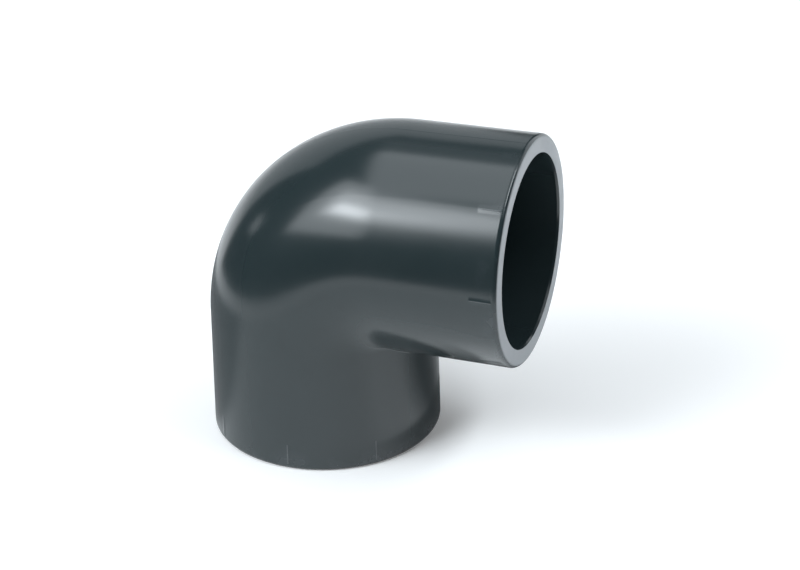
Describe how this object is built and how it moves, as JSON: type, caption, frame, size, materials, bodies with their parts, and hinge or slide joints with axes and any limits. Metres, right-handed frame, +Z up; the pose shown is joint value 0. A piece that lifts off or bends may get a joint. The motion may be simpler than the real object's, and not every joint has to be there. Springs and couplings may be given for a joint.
{
  "type": "pipe elbow",
  "caption": "Right-angle solvent-weld pipe elbow in grey rigid PVC, with an equal socket at each end, a rounded heel and a mitred crotch.",
  "frame": {"origin": "centre of the lower socket's mouth, on the plane of its rim", "axes": "+Z up the lower socket's axis into the bend, +X along the outlet socket's axis and out of its mouth, Y square to both"},
  "size_m": [0.11, 0.0762, 0.11],
  "materials": {
    "pvc": "satin moulded, dark blue-grey"
  },
  "bodies": {
    "root": {"elbow_body": "pvc"}
  },
  "joints": []
}
